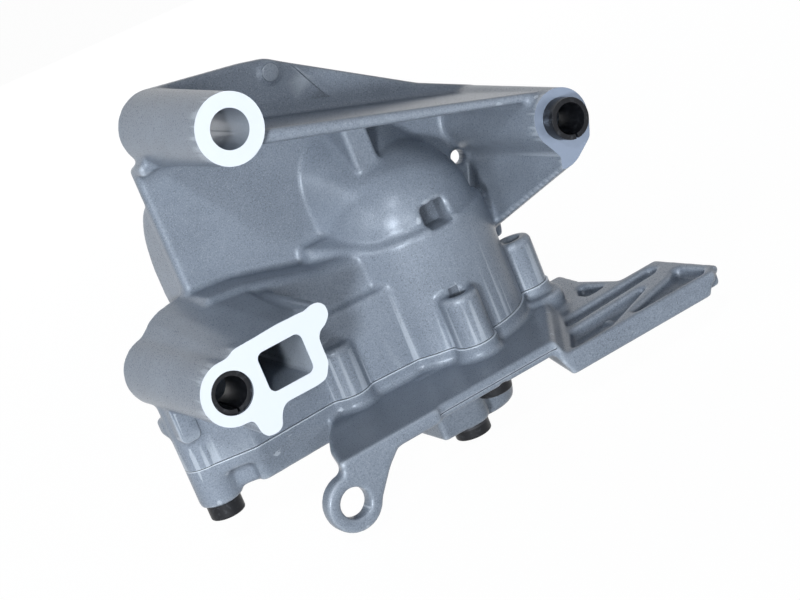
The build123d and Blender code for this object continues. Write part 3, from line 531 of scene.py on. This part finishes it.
# Shaft and dowels: hardened steel, ground all round. The shaft has a keyway and a hexagon socket at
# its foot; the two hollow dowels set the cover to the housing.
ground, ground_dark, ground_roughness = (0.58, 0.59, 0.61, 1), (0.34, 0.35, 0.37, 1), 0.22
round_marks, round_stretch = 500.0, (0.2, 0.2, 8.0)
metal_metallic, metal_specular, mark_depth, stain_cells = 0.9, 0.5, 0.000006, 120.0


def dress(node, material):
    """Give a CAD piece its finish."""
    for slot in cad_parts[node].material_slots:
        slot.material = material


def turned_metal(name, light, dark, roughness, marks, stretch):
    """Bare metal with the fine marks of the tool that made it, drawn out along the cut."""
    finish = Finish(name, metal_metallic, roughness, metal_specular)
    lines = finish.noise(marks, 3.0, stretch)
    stain = finish.rise(finish.noise(stain_cells, 3.0), 0.4, 0.8)
    finish.colour(finish.mix(finish.rise(lines, 0.3, 0.7) * 0.5 + stain * 0.35, light, dark))
    finish.feed(finish.shader, {"Roughness": roughness + lines * 0.15})
    finish.bump(lines, mark_depth)
    return finish.material


ground_finish = turned_metal("ground_steel_finish", ground, ground_dark, ground_roughness,
                             round_marks, round_stretch)
for node in ("drive_shaft", "front_dowel", "rear_dowel"):
    dress(node, ground_finish)

# Rotor set: pressed and sintered steel, fine-pored and ground on the flat faces. The inner rotor is
# keyed to the shaft, and the outer one runs free in the drum.
sinter, sinter_pore, sinter_roughness = (0.36, 0.37, 0.39, 1), (0.12, 0.12, 0.13, 1), 0.35
pore_cells, even = 2400.0, (1.0, 1.0, 1.0)
sinter_finish = turned_metal("sintered_finish", sinter, sinter_pore, sinter_roughness,
                             pore_cells, even)
for node in ("inner_rotor", "outer_rotor"):
    dress(node, sinter_finish)

# Bushes: two turned bronze rings, one pressed into the housing and one into the cover. The shaft
# runs in them above and below the rotors.
bronze, bronze_dark, bronze_roughness = (0.55, 0.37, 0.17, 1), (0.30, 0.18, 0.08, 1), 0.3
bronze_finish = turned_metal("bronze_finish", bronze, bronze_dark, bronze_roughness,
                             round_marks, round_stretch)
for node in ("upper_bush", "lower_bush"):
    dress(node, bronze_finish)

# Key and retaining rings: drawn spring steel. The key drives the inner rotor, and the two rings
# snap into the shaft's grooves on either side of it.
wire, wire_dark, wire_roughness = (0.30, 0.31, 0.33, 1), (0.10, 0.10, 0.11, 1), 0.3
wire_marks, wire_stretch = 900.0, (1.0, 1.0, 3.0)
wire_finish = turned_metal("spring_wire_finish", wire, wire_dark, wire_roughness,
                           wire_marks, wire_stretch)
for node in ("rotor_key", "upper_clip", "lower_clip"):
    dress(node, wire_finish)

# Relief valve: a ground piston on a coil spring in the cover, shut in by a black socket plug on a
# soft iron washer. In the pump the spring's foot stays on the plug and its head follows the piston, so
# the coil shortens with the slide; here the coil is a still copy of the spring.
iron, iron_dark, iron_roughness = (0.06, 0.062, 0.07, 1), (0.02, 0.02, 0.024, 1), 0.35
washer_marks, screw_roughness = 700.0, 0.42
dress("relief_piston", ground_finish)
black_screw_finish = black_oxide("plug_finish", screw_roughness)
dress("relief_plug", black_screw_finish)
dress("plug_washer", turned_metal("washer_finish", iron, iron_dark, iron_roughness,
                                  washer_marks, even))
coil = merged_copy("relief_coil", "relief_spring")
coat(coil, wire_finish)
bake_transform(coil)
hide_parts("relief_spring")

# Cover screws: seven black socket-head screws, put up through the cover from below and screwed into
# the housing's bosses, so that they hold the two castings together.
dress("cover_screws", black_screw_finish)

# Gallery plug: a black socket plug of the screws' steel, screwed in from behind. It closes the
# cross gallery that was drilled through the outlet block.
dress("gallery_plug", black_screw_finish)

# Suction seal: a moulded rubber ring that sits in the suction face's groove and stands a little
# proud of it, so that the pick-up pipe's flange squeezes it flat.
rubber, rubber_bloom = (0.012, 0.012, 0.013, 1), (0.05, 0.05, 0.055, 1)
rubber_roughness, rubber_specular, rubber_depth = 0.55, 0.4, 0.00001
bloom_cells, rubber_cells = 300.0, 3000.0
seal_finish = Finish("seal_finish", 0.0, rubber_roughness, rubber_specular)
bloom = seal_finish.rise(seal_finish.noise(bloom_cells, 4.0), 0.4, 0.8)
seal_finish.colour(seal_finish.mix(bloom, rubber, rubber_bloom))
seal_finish.bump(seal_finish.noise(rubber_cells, 2.0), rubber_depth)
dress("suction_seal", seal_finish.material)

# Camera: at the photograph's place, which was solved from the three parallel bosses, the joint and
# the dome. It looks down on the pump from its front left and is rolled to the right.
lens, sensor = 94.887, 36.0
eye = Vector((-0.24139, -0.56293, 0.20838))
view_right = Vector((0.81846985, -0.44279917, -0.36610927))
view_down = Vector((-0.44352938, -0.08188533, -0.89251133))
view_ahead = Vector((0.3652243, 0.89287384, -0.26341512))
camera_data = bpy.data.cameras.new("camera")
camera_data.lens, camera_data.sensor_width = lens, sensor
camera = bpy.data.objects.new("camera", camera_data)
axes = Matrix((view_right, -view_down, -view_ahead)).transposed()
camera.matrix_world = Matrix.Translation(eye) @ axes.to_4x4()
bpy.context.collection.objects.link(camera)
bpy.context.scene.camera = camera

# Floor: a sheet of pale paper just under the pump. It takes the pump's shadow and gives back a grey
# light, and the camera, reflections and clear pieces see it almost white.
floor_gap, floor_half = 0.0005, 4.0
paper_low, paper_high = (0.50, 0.50, 0.50, 1), (0.54, 0.54, 0.54, 1)
paper_cells, paper_roughness = 400.0, 0.9
white, paper_glow, glow_share = (1, 1, 1, 1), 1.06, 0.92


def seen_directly(nodes):
    """1 for what the camera, a reflection or a clear piece sees, 0 for the light itself."""
    camera_ray, glossy_ray, clear_ray = (
        nodes.node("ShaderNodeLightPath", output=name)
        for name in ("Is Camera Ray", "Is Glossy Ray", "Is Transmission Ray"))
    return camera_ray | glossy_ray | clear_ray


bpy.ops.object.select_all(action="DESELECT")
bpy.ops.mesh.primitive_plane_add(size=2 * floor_half, location=(0, 0, cad_low.z - floor_gap))
floor = settle()
floor.name = "floor"
paper = Finish("floor_paper", 0.0, paper_roughness, 0.0)
paper.colour(paper.mix(paper.noise(paper_cells, 3.0), paper_low, paper_high))
glow = paper.node("ShaderNodeEmission", sockets={"Color": white, "Strength": paper_glow})
lit = Value(paper, paper.shader.outputs[0])
shown = paper.node("ShaderNodeMixShader", sockets={0: seen_directly(paper) * glow_share,
                                                   1: lit, 2: glow})
paper.feed(paper.tree.nodes["Material Output"], {"Surface": shown})
floor.data.materials.append(paper.material)

# Studio: a dim bluish sky that shows white, four soft boxes in front and to the left, small enough
# to draw the castings' forms, and a wide one behind that doesn't show in the gloss.
sky_low, sky_high = (0.07, 0.08, 0.10, 1), (0.05, 0.055, 0.07, 1)
horizon, zenith = 0.1, 0.7
pump_middle, cool_white = (-0.01, 0.0, 0.06), (0.95, 0.98, 1.0)
soft_boxes = (("left_box", (-1.24, -0.45, 0.54), 0.5, 0.5, 3.0),
              ("key_box", (-0.49, -0.93, 0.74), 0.10, 0.10, 3.5),
              ("low_box", (-0.85, -1.10, 0.18), 0.16, 0.16, 12.5),
              ("front_box", (-0.30, -1.37, 0.12), 0.3, 0.2, 4.0),
              ("back_box", (0.10, 1.40, 0.30), 0.9, 0.5, 16.0))
world = bpy.data.worlds.new("studio")
bpy.context.scene.world = world
world.use_nodes = True
sky = Nodes(world.node_tree, "Generated")
height = sky.rise(sky.axis("Z"), horizon, zenith)
ambient = sky.node("ShaderNodeBackground", sockets={"Color": sky.mix(height, sky_low, sky_high),
                                                    "Strength": 1.0})
clear = sky.node("ShaderNodeBackground", sockets={"Color": white, "Strength": 1.0})
backdrop = sky.node("ShaderNodeMixShader", sockets={0: seen_directly(sky), 1: ambient, 2: clear})
sky.feed(sky.tree.nodes["World Output"], {"Surface": backdrop})
for name, place, width, depth, power in soft_boxes:
    light = bpy.data.lights.new(name, "AREA")
    light.shape = "RECTANGLE"
    light.size, light.size_y, light.energy, light.color = width, depth, power, cool_white
    lamp = bpy.data.objects.new(name, light)
    lamp.location = place
    lamp.rotation_euler = (Vector(pump_middle) - Vector(place)).to_track_quat("-Z", "Y").to_euler()
    lamp.visible_glossy = name != "back_box"
    bpy.context.collection.objects.link(lamp)
bpy.context.scene.view_settings.view_transform = "Standard"
